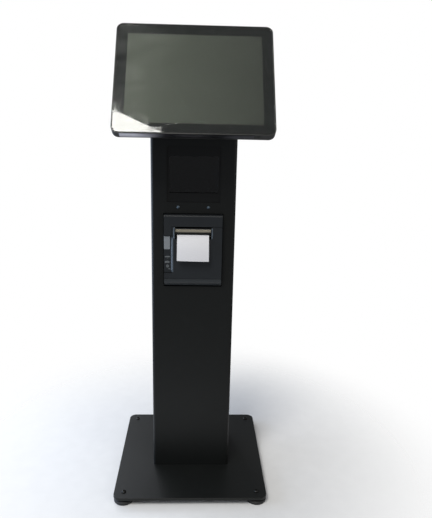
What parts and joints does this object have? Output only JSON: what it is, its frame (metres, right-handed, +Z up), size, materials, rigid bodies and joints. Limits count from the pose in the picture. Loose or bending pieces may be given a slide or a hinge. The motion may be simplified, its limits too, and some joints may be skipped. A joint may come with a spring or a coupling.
{
  "type": "ticket vending kiosk",
  "caption": "Free-standing ticket kiosk: a tilted touch monitor on a slim column with a scanner window, a ticket printer and a square base plate on levelling feet.",
  "frame": {"origin": "on the floor, below the centre of the base plate", "axes": "+Z up, the screen and the printer face -Y, +X is to the right when seen from the front"},
  "size_m": [0.4, 0.4, 1.1787],
  "materials": {
    "powder_coat": "fine texture",
    "zinc_steel": "zinc plated",
    "screw_steel": "dark zinc",
    "foot_rubber": "matte",
    "lock_chrome": "polished",
    "black_abs": "moulded",
    "rocker_plastic": "gloss",
    "monitor_abs": "moulded",
    "cover_glass": "gloss",
    "display": "satin",
    "circuit_board": "solder mask",
    "cooler_aluminium": "anodised",
    "window_glass": "tinted",
    "mirror_glass": "silvered",
    "motor_steel": "blackened",
    "brass": "turned",
    "printer_abs": "moulded",
    "button_plastic": "moulded",
    "lamp_lens": "clear",
    "tear_steel": "rolled",
    "platen_rubber": "ground",
    "gear_acetal": "moulded",
    "paper": "thermal paper"
  },
  "bodies": {
    "stand": {"base_plate": "powder_coat", "foot_bolts": "screw_steel", "base_flange": "zinc_steel", "flange_bolts": "zinc_steel", "column_body": "powder_coat", "top_cap": "powder_coat", "rear_panel": "powder_coat", "mains_inlet": "black_abs", "cable_grommet": "foot_rubber", "hinge_leaves_fixed": "zinc_steel", "power_supply": "zinc_steel", "tilt_bracket": "powder_coat", "tilt_bolts": "zinc_steel", "scanner_bezel": "black_abs", "scanner_window": "window_glass", "scanner_housing": "black_abs", "scanner_mirrors": "mirror_glass", "polygon_motor": "motor_steel", "laser_module": "brass", "scanner_board": "circuit_board", "scanner_bracket": "zinc_steel", "scanner_screws": "screw_steel", "printer_case": "printer_abs", "slot_cover": "printer_abs", "control_panel": "printer_abs", "status_lamps": "lamp_lens", "head_frame": "zinc_steel", "print_head": "motor_steel", "tear_bar": "tear_steel", "feed_motor": "motor_steel", "roll_holder": "printer_abs", "printer_board": "circuit_board", "printer_shelf": "zinc_steel"},
    "monitor": {"monitor_bracket": "powder_coat", "vesa_screws": "zinc_steel", "monitor_frame": "monitor_abs", "touch_glass": "cover_glass", "lcd_panel": "display", "monitor_rear_cover": "monitor_abs", "main_board": "circuit_board", "heat_sink": "cooler_aluminium"},
    "monitor_button": {"power_button": "monitor_abs"},
    "door": {"rear_door": "powder_coat", "hinge_leaves_door": "zinc_steel", "lock_barrel": "lock_chrome"},
    "lock": {"lock_plug": "lock_chrome"},
    "rocker": {"switch_rocker": "rocker_plastic"},
    "paper_door": {"roll_cover": "printer_abs", "ticket": "paper"},
    "platen": {"platen_roller": "platen_rubber"},
    "idler": {"idler_gear": "gear_acetal"},
    "pinion": {"motor_pinion": "brass"},
    "roll": {"paper_roll": "paper"},
    "release": {"cover_button": "button_plastic"},
    "feed": {"feed_button": "button_plastic"},
    "polygon": {"polygon_mirror": "mirror_glass"},
    "foot_front_left": {"foot_front_left": "foot_rubber"},
    "foot_front_right": {"foot_front_right": "foot_rubber"},
    "foot_rear_left": {"foot_rear_left": "foot_rubber"},
    "foot_rear_right": {"foot_rear_right": "foot_rubber"}
  },
  "joints": [
    {"name": "monitor_tilt", "type": "hinge", "parent": "stand", "child": "monitor", "pos_m": [0, -0.05716, 1.01761], "axis": [1, 0, 0], "range_deg": [-18, 18]},
    {"name": "door_hinge", "type": "hinge", "parent": "stand", "child": "door", "pos_m": [-0.094, 0.112, 0.5], "axis": [0, 0, 1], "range_deg": [0, 110]},
    {"name": "lock_turn", "type": "hinge", "parent": "door", "child": "lock", "pos_m": [0.072, 0.108, 0.5465], "axis": [0, -1, 0], "range_deg": [0, 90]},
    {"name": "mains_rocker", "type": "hinge", "parent": "stand", "child": "rocker", "pos_m": [-0.03, 0.11, 0.073], "axis": [1, 0, 0], "range_deg": [-14, 0]},
    {"name": "roll_cover_hinge", "type": "hinge", "parent": "stand", "child": "paper_door", "pos_m": [0, -0.0695, 0.584], "axis": [1, 0, 0], "range_deg": [0, 80]},
    {"name": "platen_spin", "type": "hinge", "parent": "paper_door", "child": "platen", "pos_m": [0, -0.062, 0.6905], "axis": [1, 0, 0], "continuous": true},
    {"name": "idler_spin", "type": "hinge", "parent": "stand", "child": "idler", "pos_m": [0.054, -0.0444, 0.6905], "axis": [1, 0, 0], "continuous": true},
    {"name": "pinion_spin", "type": "hinge", "parent": "stand", "child": "pinion", "pos_m": [0.054, -0.0292, 0.6905], "axis": [1, 0, 0], "continuous": true},
    {"name": "paper_roll_spin", "type": "hinge", "parent": "stand", "child": "roll", "pos_m": [0, -0.014, 0.624], "axis": [1, 0, 0], "continuous": true},
    {"name": "release_press", "type": "slide", "parent": "stand", "child": "release", "axis": [0, 1, 0], "range_m": [0, 0.002], "stiffness_N_per_m": 500, "springref_m": -0.001},
    {"name": "feed_press", "type": "slide", "parent": "stand", "child": "feed", "axis": [0, 1, 0], "range_m": [0, 0.0015], "stiffness_N_per_m": 500, "springref_m": -0.001},
    {"name": "power_press", "type": "slide", "parent": "monitor", "child": "monitor_button", "axis": [0, 0.5299, 0.848], "range_m": [0, 0.001], "stiffness_N_per_m": 500, "springref_m": -0.001},
    {"name": "polygon_spin", "type": "hinge", "parent": "stand", "child": "polygon", "pos_m": [0, -0.002, 0.789], "axis": [0, 0, 1], "continuous": true},
    {"name": "foot_front_left_screw", "type": "slide", "parent": "stand", "child": "foot_front_left", "axis": [0, 0, -1], "range_m": [0, 0.006]},
    {"name": "foot_front_right_screw", "type": "slide", "parent": "stand", "child": "foot_front_right", "axis": [0, 0, -1], "range_m": [0, 0.006]},
    {"name": "foot_rear_left_screw", "type": "slide", "parent": "stand", "child": "foot_rear_left", "axis": [0, 0, -1], "range_m": [0, 0.006]},
    {"name": "foot_rear_right_screw", "type": "slide", "parent": "stand", "child": "foot_rear_right", "axis": [0, 0, -1], "range_m": [0, 0.006]}
  ],
  "couplings": [
    {"joint": "idler_spin", "follows": "platen_spin", "ratio": -0.83333},
    {"joint": "pinion_spin", "follows": "platen_spin", "ratio": 1.4286},
    {"joint": "paper_roll_spin", "follows": "platen_spin", "ratio": -0.15}
  ]
}
